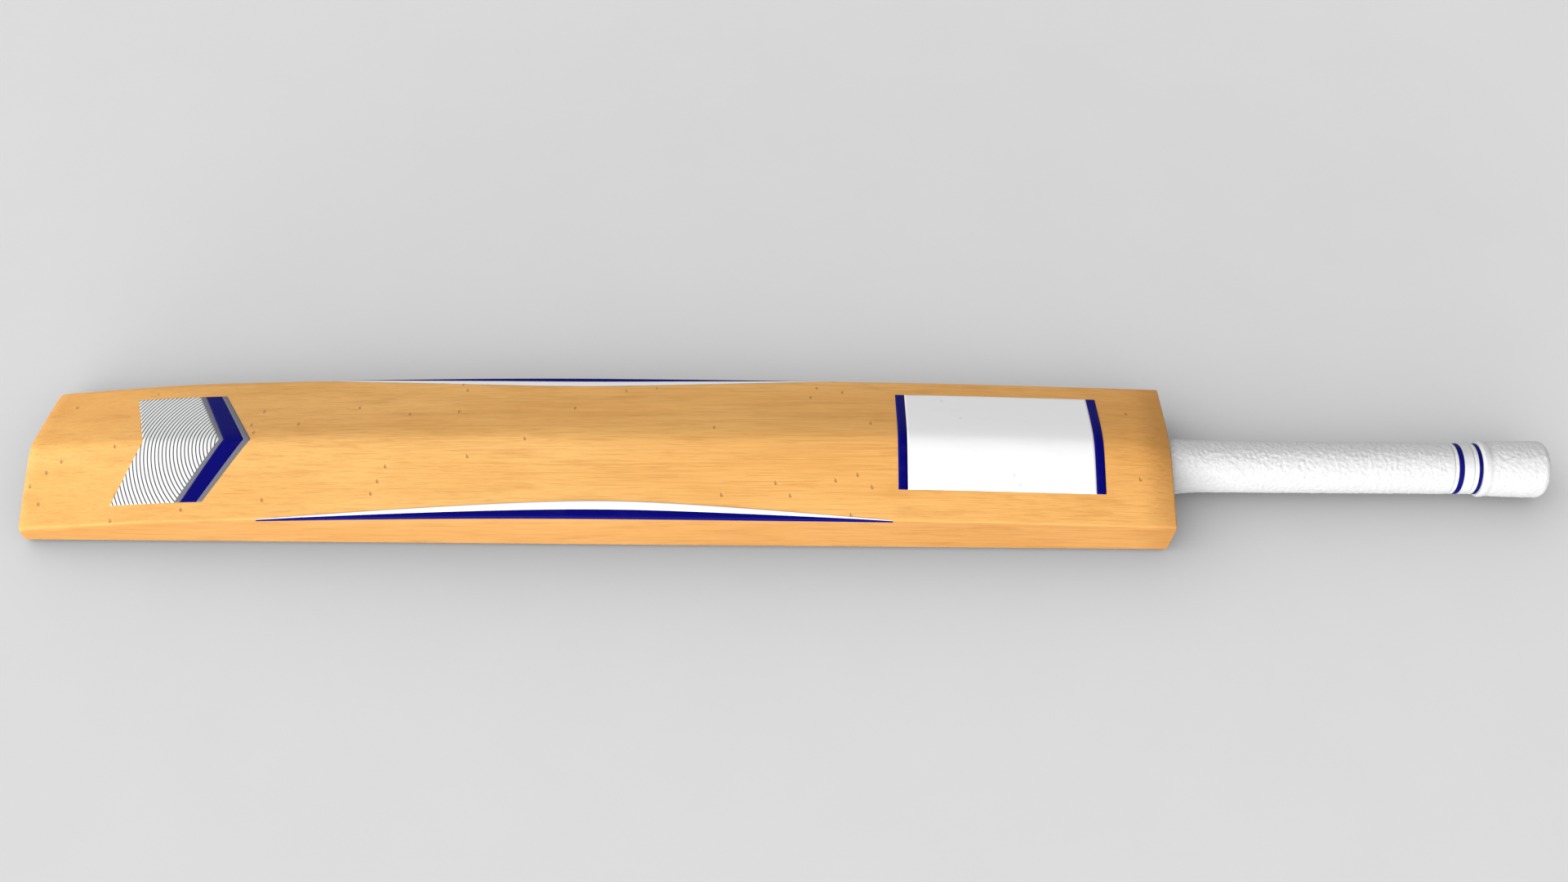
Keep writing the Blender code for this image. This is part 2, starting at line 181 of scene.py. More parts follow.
# ---- colours, linear ----
WILLOW = (0.90, 0.48, 0.15)
WILLOW_PALE = (1.0, 0.56, 0.185)
WILLOW_WARM = (0.90, 0.47, 0.140)
WILLOW_DARK = (0.66, 0.31, 0.080)
WILLOW_LINE = (0.60, 0.27, 0.070)
# darker, browner colour towards the shoulder
WILLOW_SHOULDER_DARK = (0.45, 0.20, 0.05)
# painted light: brightens the far half of the back near the toe
TOE_PAINTED_LIGHT = (1.20, 1.12, 0.95)
# painted shade: darker and redder towards the handle
HANDLE_PAINTED_SHADE = (0.90, 0.85, 0.79)
# painted shade on the sides, which face across the bat
SIDE_PAINTED_SHADE = (0.75, 0.71, 0.72)
# painted shade inside the pits
PIT_PAINTED_SHADE = (0.30, 0.14, 0.05)
SHOULDER_DARKENING = 0.45
# where each tone starts and ends: distances from the toe, y, and distances before the shoulder
TOE_LIGHT_SPAN = (0.02, 0.13)
FAR_HALF = (-0.010, 0.006)
HANDLE_SHADE_SPAN = (0.38, 0.60)
SHOULDER_DARK_SPAN = (0.026, 0.002)
PIT_DENSITY = 0.026
PIT_SIZE = 0.22
PIT_SLANT = 0.6              # radians between a nick and straight across the bat
LABEL_WHITE = (0.94, 0.94, 0.94)
ARC_GREY = (0.08, 0.085, 0.09)
NAVY = (0.001, 0.001, 0.155)
TRIM_GREY = (0.20, 0.20, 0.24)
GRIP_WHITE = (0.72, 0.72, 0.725)
# darker rubber: painted shade in the crinkle's hollows and dirt in smudges
GRIP_DIRT_AND_SHADE = (0.58, 0.58, 0.585)
FLOOR = (0.85, 0.85, 0.85)
FLOOR_DARK = tuple(channel * 0.985 for channel in FLOOR)
FLOOR_HALF = 6.0
FLOOR_DROP = 0.0002          # the floor lies a hair under the bat

# ---- light and camera ----
SKY = 0.80
SKY_BASE = 1.87
SKY_SLANT = (-0.85, -0.50, -1.3)   # the sky brightens towards the toe, the near side and the horizon
KEY_WATTS = 150
KEY_SIZE = (4.2, 0.5)
KEY_AT = (-1.3, -3.8, 0.27)
CAMERA_AT = (0.002, -0.6295, 0.920)
CAMERA_DOWN = 54.346
CAMERA_YAW = 0.372
CAMERA_ROLL = 0.183
CAMERA_LENS = 39.375         # millimetres, as is the sensor
CAMERA_SENSOR = 36.0

random.seed(11)


# ---- shape helpers ----
def interp(knots, t):
    """Smooth monotone interpolation through (t, value) knots, for an array t."""
    xs = np.array([k[0] for k in knots])
    ys = np.array([k[1] for k in knots])
    slope = np.diff(ys) / np.diff(xs)
    tangent = np.zeros(len(xs))
    tangent[0], tangent[-1] = slope[0], slope[-1]
    for i in range(1, len(xs) - 1):
        if slope[i - 1] * slope[i] > 0:
            tangent[i] = 2 * slope[i - 1] * slope[i] / (slope[i - 1] + slope[i])
    t = np.clip(t, xs[0], xs[-1])
    i = np.clip(np.searchsorted(xs, t, side="right") - 1, 0, len(xs) - 2)
    h = xs[i + 1] - xs[i]
    u = (t - xs[i]) / h
    return (ys[i] * (2 * u ** 3 - 3 * u ** 2 + 1) + ys[i + 1] * (3 * u ** 2 - 2 * u ** 3)
            + h * tangent[i] * (u ** 3 - 2 * u ** 2 + u) + h * tangent[i + 1] * (u ** 3 - u ** 2))


def quarter(distance, radius):
    """Drop of a quarter round of this radius, this far from the end it rounds."""
    d = np.clip(distance, 0.0, radius)
    return radius - np.sqrt(radius ** 2 - (radius - d) ** 2)


def half_width(s):
    return HALF_W - quarter(s, TOE_CORNER) - SHOULDER_SIDE * quarter(BLADE_LEN - s, END_ROUND)


def end_inset(s):
    return quarter(s, END_ROUND) + quarter(BLADE_LEN - s, END_ROUND)


DENTS = [(random.uniform(0.02, 0.70), random.uniform(-0.05, 0.05), random.uniform(0.006, 0.016),
          random.uniform(0.003, 0.007), random.uniform(0.00003, 0.00012)) for _ in range(DENT_COUNT)]


def wear(s, y):
    """Shallow knocks that use has left in the back: centre, length, width and depth of each from DENTS."""
    depth = np.zeros(np.broadcast(s, y).shape)
    for at_s, at_y, long, wide, deep in DENTS:
        depth += deep * np.exp(-((s - at_s) / long) ** 2 - ((y - at_y) / wide) ** 2)
    return depth


def back_height(s, y):
    """Height of the back, with its spine, softened ends, rounded corners and knocks."""
    blend = interp(RIDGE_BLEND, s / BLADE_LEN)
    roll = np.clip(1 - (BLADE_LEN - s) / SHOULDER_ROLL, 0, None)
    top = interp(SPINE, s / BLADE_LEN) - SHOULDER_DROP * roll ** 2
    low = interp(EDGE, s / BLADE_LEN)
    fall = (np.hypot(y, blend) - blend) / (np.hypot(HALF_W, blend) - blend)
    corner = quarter(half_width(s) - abs(y), interp(EDGE_ROUND, s / BLADE_LEN))
    toe_roll = TOE_DROP * np.clip(1 - s / TOE_ROLL, 0, None) ** 2
    return top - (top - low) * fall - toe_roll - end_inset(s) - corner - wear(s, y)


def plan_x(s, y):
    """Frame x at distance s from the toe: the toe end is slightly bowed in plan."""
    return X_TOE + s + TOE_BOW * (y / HALF_W) ** 2 * np.clip(1 - s / TOE_BOW_LEN, 0, None)


def lean(s, z):
    """How far a point of the blade is drawn back from the shoulder, whose end leans back to the face."""
    low = np.clip(1 - z / interp(EDGE, s / BLADE_LEN), 0, None)
    return SHOULDER_LEAN * low * np.clip(1 - (BLADE_LEN - s) / LEAN_LEN, 0, None)


# ---- mesh helpers ----
def add_mesh(name, verts, faces):
    mesh = bpy.data.meshes.new(name)
    mesh.from_pydata(verts.reshape(-1, 3).tolist(), [], faces)
    mesh.shade_smooth()
    mesh.set_sharp_from_angle(angle=SMOOTH_ANGLE)
    obj = bpy.data.objects.new(name, mesh)
    bpy.context.scene.collection.objects.link(obj)
    return obj


def ring_faces(rows, columns):
    """Quads between neighbouring rows of closed rings."""
    faces = []
    for i in range(rows - 1):
        for j in range(columns):
            k = (j + 1) % columns
            faces.append((i * columns + j, i * columns + k, (i + 1) * columns + k, (i + 1) * columns + j))
    return faces


def face_outwards(mesh):
    bm = bmesh.new()
    bm.from_mesh(mesh)
    bmesh.ops.recalc_face_normals(bm, faces=bm.faces)
    bm.to_mesh(mesh)
    bm.free()


def place(obj, mat, slot, *nodes):
    """Give a piece its material, hang it on the bat and let it stand for its CAD nodes."""
    obj.data.materials.clear()
    obj.data.materials.append(mat)
    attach(obj, "root")
    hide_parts(*nodes)
    return obj


# ---- blade ----
def blade_stations():
    """Distances from the toe of the fine blade's sections: closer together where the ends are round."""
    near_end = END_ROUND * (1 - np.cos(np.radians(np.arange(0, 91, 10))))
    toe = np.append(near_end, np.arange(END_ROUND + 0.0006, TOE_CORNER + 0.001, 0.0006))
    shoulder = BLADE_LEN - near_end[::-1]
    body = np.arange(toe[-1] + ROW_PITCH, shoulder[0] - ROW_PITCH / 2, ROW_PITCH)
    return np.concatenate([toe, body, shoulder])


def blade_section(s):
    """Half outlines from the middle of the face round to the ridge: one row for each station in s."""
    w = half_width(s)
    inset = end_inset(s)
    inner = w - FACE_ROUND
    flat = np.linspace(0, FACE_FLAT, 6)[None, :]
    ys = [flat + 0 * s]
    zs = [inset + 0 * flat]
    u = np.linspace(0, 1, 8)[None, 1:]
    ys.append(FACE_FLAT + u * (inner - FACE_FLAT))
    zs.append(inset + FACE_RISE * u ** 2)
    a = np.radians(np.linspace(-90, 0, 8))[None, 1:]
    ys.append(inner + FACE_ROUND * np.cos(a))
    zs.append(inset + FACE_RISE + FACE_ROUND * (1 + np.sin(a)))
    side_low = inset + FACE_RISE + FACE_ROUND
    side_high = back_height(s, w)
    u = np.linspace(0, 1, 10)[None, 1:]
    ys.append(w + 0 * u)
    zs.append(side_low + (side_high - side_low) * u)
    r = interp(EDGE_ROUND, s / BLADE_LEN)
    a = np.radians(np.linspace(0, 90, 9))[None, 1:]
    corner_y = w - r * (1 - np.cos(a))
    ys.append(corner_y)
    zs.append(back_height(s, corner_y))
    back_y = (w - r) * np.linspace(1, 0, 34)[None, 1:] ** 1.2
    ys.append(back_y)
    zs.append(back_height(s, back_y))
    return np.concatenate(ys, axis=1), np.concatenate(zs, axis=1)


def side_wear(points):
    """Very slight unevenness of the planed sides."""
    for p in points.reshape(-1, 3):
        if abs(p[1]) > HALF_W - 0.0001:
            p[1] -= math.copysign(SIDE_WEAR * (noise.noise(Vector(p) * SIDE_WEAR_SCALE) + 0.5), p[1])


def socket_cutter():
    """Prism a hair larger than the cane splice, open at the shoulder and on the face."""
    tip = span("rubber_spring_2")[0]
    wide = CORE_R + CLEARANCE
    narrow = SPLICE_TIP + CLEARANCE
    length = BLADE_LEN - tip
    grow = (wide - narrow) * (length + CUT_OVER) / length
    bm = bmesh.new()
    outline = [(tip - CLEARANCE, -narrow), (BLADE_LEN + CUT_OVER, -narrow - grow),
               (BLADE_LEN + CUT_OVER, narrow + grow), (tip - CLEARANCE, narrow)]
    face = bm.faces.new([bm.verts.new((X_TOE + s, y, -CUT_UNDER)) for s, y in outline])
    lifted = bmesh.ops.extrude_face_region(bm, geom=[face])
    moved = [v for v in lifted["geom"] if isinstance(v, bmesh.types.BMVert)]
    bmesh.ops.translate(bm, verts=moved, vec=(0, 0, splice_top() + CLEARANCE + CUT_UNDER))
    bmesh.ops.recalc_face_normals(bm, faces=bm.faces)
    mesh = bpy.data.meshes.new("splice_socket")
    bm.to_mesh(mesh)
    bm.free()
    obj = bpy.data.objects.new("splice_socket", mesh)
    bpy.context.scene.collection.objects.link(obj)
    return obj


def splice_top():
    """Height of the splice's flat back, read off the vertices of a top strip that lie inside the blade."""
    well_inside = X_TOE + BLADE_LEN - 0.01
    return max(v.co.z for v in NODES["cane_strip_2_top"].data.vertices if v.co.x < well_inside)


def make_blade(mat):
    s = blade_stations()[:, None]
    y, z = blade_section(s)
    y = np.concatenate([y, -y[:, -2:0:-1]], axis=1)
    z = np.concatenate([z, z[:, -2:0:-1]], axis=1)
    points = np.stack([plan_x(s, y) - lean(s, z), y, z], axis=-1)
    side_wear(points)
    rows, columns = y.shape
    faces = ring_faces(rows, columns)
    faces.append(tuple(range(columns))[::-1])
    faces.append(tuple((rows - 1) * columns + j for j in range(columns)))
    rough = add_mesh("willow_blade", points, faces)
    face_outwards(rough.data)
    cutter = socket_cutter()
    cut = rough.modifiers.new("socket", "BOOLEAN")
    cut.object = cutter
    cut.operation = "DIFFERENCE"
    cut.solver = "MANIFOLD"
    depsgraph = bpy.context.evaluated_depsgraph_get()
    carved = bpy.data.meshes.new_from_object(rough.evaluated_get(depsgraph))
    carved.name = "willow_blade"
    carved.shade_smooth()
    carved.set_sharp_from_angle(angle=SMOOTH_ANGLE)
    rough.modifiers.clear()
    rough.data = carved
    bpy.data.objects.remove(cutter)
    return place(rough, mat, "willow", "blade")


# ---- printed labels ----
def film(name, s, y, mat, slot, node, lowered=0.0):
    """Thin printed sheet laid on the back over a grid of (s, y) points, lowered where it runs down a side."""
    rows, columns = s.shape
    points = np.stack([plan_x(s, y), y, back_height(s, y) + FILM_LIFT - lowered], axis=-1)
    faces = []
    for i in range(rows - 1):
        for j in range(columns - 1):
            a = i * columns + j
            faces.append((a, a + columns, a + columns + 1, a + 1))
    obj = add_mesh(name, points, faces)
    if obj.data.polygons[-1].normal.z < 0:
        obj.data.flip_normals()
    solid = obj.modifiers.new("film", "SOLIDIFY")
    solid.thickness = FILM_T
    solid.offset = 1.0
    return place(obj, mat, slot, node)


def panel_film(name, start, end, low, high, mat, slot, node):
    columns = max(4, int((end - start) / FILM_PITCH))
    s, y = np.meshgrid(np.linspace(start, end, columns), np.linspace(low, high, 76))
    return film(name, s, y, mat, slot, node)


def chevron_line(outline, y):
    side, ridge = outline
    return ridge + (side - ridge) * abs(y - CHEVRON_OFFSET) / CHEVRON_HALF_W


def chevron_film(name, first, last, mat, slot, node):
    columns = max(5, int((last[1] - first[1]) / FILM_PITCH))
    u, y = np.meshgrid(np.linspace(0, 1, columns),
                       np.linspace(-CHEVRON_HALF_W, CHEVRON_HALF_W, 85) + CHEVRON_OFFSET)
    start = chevron_line(first, y)
    return film(name, start + (chevron_line(last, y) - start) * u, y, mat, slot, node)


def flash_film(name, side, sizes, width_from, width_to, mat, slot, node):
    """Crescent along an edge of the back; the one that starts at the edge also runs down the side."""
    start, apex, end = sizes[:3]
    s, v = np.meshgrid(np.linspace(start, end, FLASH_COLUMNS), np.linspace(0, 1, FLASH_ROWS))
    t = np.where(s < apex, (apex - s) / (apex - start), (s - apex) / (end - apex))
    hump = 1 - (np.hypot(t, FLASH_BLEND) - FLASH_BLEND) / (math.hypot(1, FLASH_BLEND) - FLASH_BLEND)
    size = FLASH_TIP + (1 - FLASH_TIP) * hump
    inwards = HALF_W - FLASH_EDGE - (width_from + (width_to - width_from) * v) * size
    if width_from > 0:
        return film(name, s, side * inwards, mat, slot, node)
    down = np.linspace(FLASH_WRAP, FLASH_WRAP / 4, WRAP_ROWS)[:, None] * size[0]
    on_side = np.full(down.shape, HALF_W + 2 * FILM_LIFT)
    return film(name, np.vstack([s[:WRAP_ROWS], s]), side * np.vstack([on_side, inwards]), mat, slot, node,
                lowered=np.vstack([down, 0 * s]))


# ---- handle ----
def turned(name, profile, mat, slot, node, closed=True, pebble=None):
    """Piece turned about the handle's axis from (s, radius) pairs.

    A closed profile is a loop; an open one starts and ends at the axis, where a tiny face closes it.
    pebble(s, radius) gives the depth of the moulded texture.
    """
    s = np.array([p[0] for p in profile])[:, None]
    r = np.array([p[1] for p in profile])[:, None]
    a = np.linspace(0, 2 * math.pi, AROUND, endpoint=False)[None, :]
    points = np.stack([X_TOE + s + 0 * a, r * np.sin(a), AXIS_H + r * np.cos(a)], axis=-1)
    if pebble:
        for row, (at, radius) in zip(points, profile):
            roughen(row, pebble(at, radius))
    rows = len(profile)
    faces = ring_faces(rows, AROUND)
    last = (rows - 1) * AROUND
    if closed:
        faces += [(last + j, last + (j + 1) % AROUND, (j + 1) % AROUND, j) for j in range(AROUND)]
    else:
        faces.append(tuple(range(AROUND))[::-1])
        faces.append(tuple(last + j for j in range(AROUND)))
    obj = add_mesh(name, points, faces)
    face_outwards(obj.data)
    return place(obj, mat, slot, node)


def roughen(row, depth):
    """Push a ring of points in and out along their radius with a crinkled noise."""
    if depth <= 0:
        return
    for p in row:
        coarse = noise.noise(Vector(p) * PEBBLE_COARSE)
        fine = noise.noise(Vector(p) * PEBBLE_FINE)
        out = Vector((0, p[1], p[2] - AXIS_H)).normalized()
        p += np.array(out) * depth * (coarse + PEBBLE_FINE_SHARE * fine)


def rolled_lip(start, radius, lip):
    """Quarter round from the toe-side face of a piece out to its radius."""
    turns = [math.radians(degrees) for degrees in range(0, 91, 15)]
    return [(start + lip * (1 - math.cos(a)), radius - lip * (1 - math.sin(a))) for a in turns]


def groove(s, at):
    return GROOVE_DEPTH * math.exp(-((s - at) / GROOVE_WIDTH) ** 2)


def grip_profile():
    pairs = [(GRIP_END, GRIP_BORE), (GRIP_START, GRIP_BORE)] + rolled_lip(GRIP_START, FLARE_R, GRIP_LIP)
    for s in np.arange(GRIP_START + GRIP_LIP + GRIP_PITCH, GRIP_END - GRIP_PITCH, GRIP_PITCH):
        t = (s - GRIP_START) / FLARE_LEN
        flare = (FLARE_R - GRIP_R) * max(0.0, 1 - t) ** FLARE_POWER
        past_flare = max(0.0, s - GRIP_START - FLARE_LEN)
        taper = (GRIP_R - BAND_R) * past_flare / (GRIP_END - GRIP_START - FLARE_LEN)
        pairs.append((s, GRIP_R + flare - taper - groove(s, GRIP_END - GRIP_GROOVE_AT)))
    return pairs + [(GRIP_END - BAND_SOFT, BAND_R), (GRIP_END, BAND_R - BAND_SOFT)]


def band_profile(node, groove_at=None):
    start, end = span(node)
    radius = radius_of(node)
    pairs = [(end, CORE_BORE), (start, CORE_BORE), (start, radius - BAND_SOFT)]
    for s in np.arange(start + BAND_SOFT, end - BAND_SOFT / 2, BAND_SOFT):
        dip = groove(s, start + groove_at * (end - start)) if groove_at else 0.0
        pairs.append((s, radius - dip))
    return pairs + [(end, radius - BAND_SOFT)]


def cap_profile():
    inside = CORE_END + CLEARANCE
    lip_end = CAP_START + CAP_LIP
    body_end = CAP_END - CAP_ROUND
    pairs = [(inside, CAP_HOLE), (inside, CORE_BORE), (CAP_START, CORE_BORE)]
    pairs += rolled_lip(CAP_START, CAP_R, CAP_LIP_ROUND)
    for s in np.arange(CAP_START + CAP_LIP_ROUND + GRIP_PITCH, body_end, GRIP_PITCH):
        step = CAP_STEP / (1 + math.exp(-(s - lip_end) / CAP_STEP_SOFT))
        swell = CAP_STEP * min(1.0, max(0.0, (s - lip_end) / (body_end - lip_end) * CAP_SWELL))
        pairs.append((s, CAP_R - step + swell))
    for degrees in range(0, 91, 6):
        a = math.radians(degrees)
        pairs.append((CAP_END - CAP_ROUND * (1 - math.sin(a)), CAP_R - CAP_ROUND * (1 - math.cos(a))))
    flat = CAP_R - CAP_ROUND
    return pairs + [(CAP_END, flat * t) for t in (0.8, 0.6, 0.4, 0.2)] + [(CAP_END, CAP_HOLE)]


def grip_pebble(s, radius):
    near_end = min(1.0, max(0.0, (GRIP_END - GRIP_SMOOTH_END - s) / GRIP_FADE))
    return PEBBLE_DEPTH * near_end if radius > GRIP_BORE + CLEARANCE else 0.0


def cap_pebble(s, radius):
    past_lip = min(1.0, max(0.0, (s - CAP_START - CAP_LIP) / CAP_FADE))
    return PEBBLE_DEPTH * past_lip if radius > CAP_R / 2 else 0.0


# ---- material helpers ----
class Graph:
    """A Principled material and short ways to add nodes to it. Coordinates are the bat's own, in metres."""

    def __init__(self, name, colour, roughness):
        self.mat = bpy.data.materials.new(name)
        self.mat.use_nodes = True
        self.tree = self.mat.node_tree
        self.shader = self.tree.nodes["Principled BSDF"]
        self.shader.inputs["Base Color"].default_value = (*colour, 1)
        self.shader.inputs["Roughness"].default_value = roughness
        self.coords = self.node("ShaderNodeTexCoord").outputs["Object"]

    def node(self, kind, **settings):
        made = self.tree.nodes.new(kind)
        for key, value in settings.items():
            setattr(made, key, value)
        return made

    def feed(self, socket, value):
        if isinstance(value, bpy.types.NodeSocket):
            self.tree.links.new(value, socket)
        elif isinstance(value, tuple) and len(value) == 3 and socket.type == "RGBA":
            socket.default_value = (*value, 1)
        else:
            socket.default_value = value

    def stretched(self, scale, turn=0.0):
        mapping = self.node("ShaderNodeMapping")
        self.feed(mapping.inputs["Vector"], self.coords)
        mapping.inputs["Scale"].default_value = scale
        mapping.inputs["Rotation"].default_value = (0, 0, turn)
        return mapping.outputs["Vector"]

    def noise(self, scale, detail=3.0, roughness=0.5, distortion=0.0):
        made = self.node("ShaderNodeTexNoise")
        self.feed(made.inputs["Vector"], self.stretched(scale))
        made.inputs["Scale"].default_value = 1.0
        made.inputs["Detail"].default_value = detail
        made.inputs["Roughness"].default_value = roughness
        made.inputs["Distortion"].default_value = distortion
        return made.outputs["Fac"]

    def math(self, operation, a, b=0.0):
        made = self.node("ShaderNodeMath", operation=operation)
        self.feed(made.inputs[0], a)
        self.feed(made.inputs[1], b)
        return made.outputs["Value"]

    def remap(self, value, low, high, to_low=0.0, to_high=1.0, smooth=False):
        made = self.node("ShaderNodeMapRange", interpolation_type="SMOOTHSTEP" if smooth else "LINEAR")
        for key, number in (("Value", value), ("From Min", low), ("From Max", high),
                            ("To Min", to_low), ("To Max", to_high)):
            self.feed(made.inputs[key], number)
        return made.outputs["Result"]

    def mix(self, factor, a, b, blend="MIX"):
        made = self.node("ShaderNodeMix", data_type="RGBA", blend_type=blend)
        self.feed(made.inputs["Factor"], factor)
        self.feed(made.inputs[6], a)
        self.feed(made.inputs[7], b)
        return made.outputs[2]

    def bump(self, height, distance, strength=1.0):
        made = self.node("ShaderNodeBump")
        self.feed(made.inputs["Height"], height)
        made.inputs["Distance"].default_value = distance
        made.inputs["Strength"].default_value = strength
        self.feed(self.shader.inputs["Normal"], made.outputs["Normal"])

    def facing(self, letter):
        """One component of the surface normal in the bat's own axes."""
        made = self.node("ShaderNodeSeparateXYZ")
        self.feed(made.inputs[0], self.node("ShaderNodeTexCoord").outputs["Normal"])
        return made.outputs[letter]

    def axis(self, letter):
        made = self.node("ShaderNodeSeparateXYZ")
        self.feed(made.inputs["Vector"], self.coords)
        return made.outputs[letter]

    def colour(self, value):
        self.feed(self.shader.inputs["Base Color"], value)

    def roughness(self, value):
        self.feed(self.shader.inputs["Roughness"], value)

    def pits(self, density=PIT_DENSITY):
        """1 inside small sparse pits seen on the face and back, else 0."""
        cells = self.node("ShaderNodeTexVoronoi", voronoi_dimensions="2D")
        self.feed(cells.inputs["Vector"], self.stretched((200, 120, 1), PIT_SLANT))
        cells.inputs["Scale"].default_value = 1.0
        inside = self.remap(cells.outputs["Distance"], PIT_SIZE * 0.4, PIT_SIZE, 1.0, 0.0, smooth=True)
        split = self.node("ShaderNodeSeparateColor")
        self.feed(split.inputs["Color"], cells.outputs["Color"])
        chosen = self.math("LESS_THAN", split.outputs["Red"], density)
        return self.math("MULTIPLY", self.math("MULTIPLY", inside, chosen), self.flat_on())

    def flat_on(self):
        """1 where the surface lies flat (face and back), 0 on sides and ends."""
        normal = self.node("ShaderNodeNewGeometry").outputs["Normal"]
        split = self.node("ShaderNodeSeparateXYZ")
        self.feed(split.inputs["Vector"], normal)
        return self.math("GREATER_THAN", self.math("ABSOLUTE", split.outputs["Z"]), 0.6)


# ---- materials ----
def willow_material():
    g = Graph("willow", WILLOW, 0.5)
    streaks = g.noise((16, 800, 800), 5, 0.6)
    fine = g.noise((45, 2200, 2200), 3, 0.6)
    patches = g.noise((24, 130, 130), 4, 0.6)
    broad = g.noise((6, 24, 24), 2, 0.5)
    rings = g.noise((0.8, 190, 30), 3, 0.6)
    tone = g.mix(g.remap(broad, 0.35, 0.65), WILLOW_WARM, WILLOW_PALE)
    tone = g.mix(g.remap(patches, 0.50, 0.72, 0, 0.38, smooth=True), tone, WILLOW_DARK)
    tone = g.mix(g.remap(patches, 0.46, 0.25, 0, 0.5, smooth=True), tone, WILLOW_PALE)
    tone = g.mix(g.remap(streaks, 0.50, 0.75, 0, 0.55), tone, WILLOW_DARK)
    tone = g.mix(g.remap(fine, 0.5, 0.72, 0, 0.55), tone, WILLOW_DARK)
    tone = g.mix(g.remap(rings, 0.60, 0.66, 0, 0.16), tone, WILLOW_LINE)
    tone = lengthwise_tone(g, tone)
    pits = g.pits()
    # painted shade darkens the pits
    g.colour(g.mix(g.math("MULTIPLY", pits, 0.35), tone, PIT_PAINTED_SHADE))
    g.roughness(g.remap(streaks, 0.3, 0.7, 0.42, 0.58))
    relief = g.math("ADD", g.math("MULTIPLY", streaks, 0.30), g.math("MULTIPLY", fine, 0.12))
    g.bump(g.math("SUBTRACT", relief, pits), 0.00050, 1.0)
    g.shader.inputs["Specular IOR Level"].default_value = 0.12
    return g.mat


def lengthwise_tone(g, tone):
    """Tint the plank: painted light on the toe's far corner, painted shade darker and redder towards the
    handle and on the sides, and darker towards the shoulder.
    """
    x = g.axis("X")
    shoulder = X_TOE + BLADE_LEN
    at_toe = g.remap(x, X_TOE + TOE_LIGHT_SPAN[0], X_TOE + TOE_LIGHT_SPAN[1], 1.0, 0.0, smooth=True)
    far_half = g.remap(g.axis("Y"), *FAR_HALF, 0.15, 1.0, smooth=True)
    # painted light on the far half of the back near the toe
    tone = g.mix(g.math("MULTIPLY", at_toe, far_half), tone, TOE_PAINTED_LIGHT, blend="MULTIPLY")
    # painted shade on surfaces that face the sides
    shaded_side = g.remap(g.math("ABSOLUTE", g.facing("Y")), 0.6, 0.95, smooth=True)
    tone = g.mix(shaded_side, tone, SIDE_PAINTED_SHADE, blend="MULTIPLY")
    # painted shade, darker and redder towards the handle
    towards_handle = g.remap(x, X_TOE + HANDLE_SHADE_SPAN[0], X_TOE + HANDLE_SHADE_SPAN[1], smooth=True)
    tone = g.mix(towards_handle, tone, HANDLE_PAINTED_SHADE, blend="MULTIPLY")
    # darker and browner towards the shoulder
    near_shoulder = g.remap(x, shoulder - SHOULDER_DARK_SPAN[0], shoulder - SHOULDER_DARK_SPAN[1], 0.0, SHOULDER_DARKENING, smooth=True)
    return g.mix(near_shoulder, tone, WILLOW_SHOULDER_DARK)


def cane_material():
    g = Graph("cane", (0.62, 0.42, 0.19), 0.5)
    fibres = g.noise((9, 1500, 1500), 4, 0.6)
    nodes = g.noise((60, 160, 160), 3, 0.5)
    tone = g.mix(g.remap(fibres, 0.4, 0.7), (0.70, 0.50, 0.24), (0.46, 0.28, 0.11))
    g.colour(g.mix(g.remap(nodes, 0.55, 0.7, 0, 0.4), tone, (0.36, 0.21, 0.08)))
    g.roughness(g.remap(fibres, 0.3, 0.7, 0.42, 0.62))
    g.bump(fibres, 0.00012, 0.7)
    return g.mat


def spring_material():
    g = Graph("spring_rubber", (0.05, 0.045, 0.045), 0.7)
    grain = g.noise((1800, 1800, 1800), 3, 0.6)
    g.colour(g.mix(grain, (0.035, 0.032, 0.032), (0.08, 0.072, 0.07)))
    g.roughness(g.remap(grain, 0.3, 0.7, 0.6, 0.8))
    g.bump(grain, 0.00008, 0.6)
    return g.mat


def twine_material():
    g = Graph("twine", (0.62, 0.54, 0.38), 0.8)
    strands = g.noise((2600, 900, 900), 3, 0.6)
    g.colour(g.mix(strands, (0.50, 0.43, 0.29), (0.72, 0.65, 0.49)))
    g.roughness(g.remap(strands, 0.3, 0.7, 0.7, 0.9))
    g.bump(strands, 0.0001, 0.8)
    return g.mat


def rubber_material(name, colour, dirt_and_shade, crinkle):
    """Moulded rubber: fine crinkled texture with painted shade in its hollows, and a little dirt in smudges.
    """
    g = Graph(name, colour, 0.55)
    coarse = g.noise((430, 430, 430), 3, 0.6, 0.6)
    fine = g.noise((1500, 1500, 1500), 3, 0.6)
    smudges = g.noise((35, 60, 60), 3, 0.5)
    # painted shade in the crinkle's hollows, where the bump is low
    tone = g.mix(g.remap(coarse, 0.50, 0.32, 0, 0.35), colour, dirt_and_shade)
    g.colour(g.mix(g.remap(smudges, 0.5, 0.7, 0, 0.16), tone, dirt_and_shade))
    g.roughness(g.remap(fine, 0.3, 0.7, 0.48, 0.66))
    g.bump(g.math("ADD", coarse, g.math("MULTIPLY", fine, 0.3)), crinkle, 0.8)
    g.shader.inputs["Specular IOR Level"].default_value = 0.10
    return g.mat


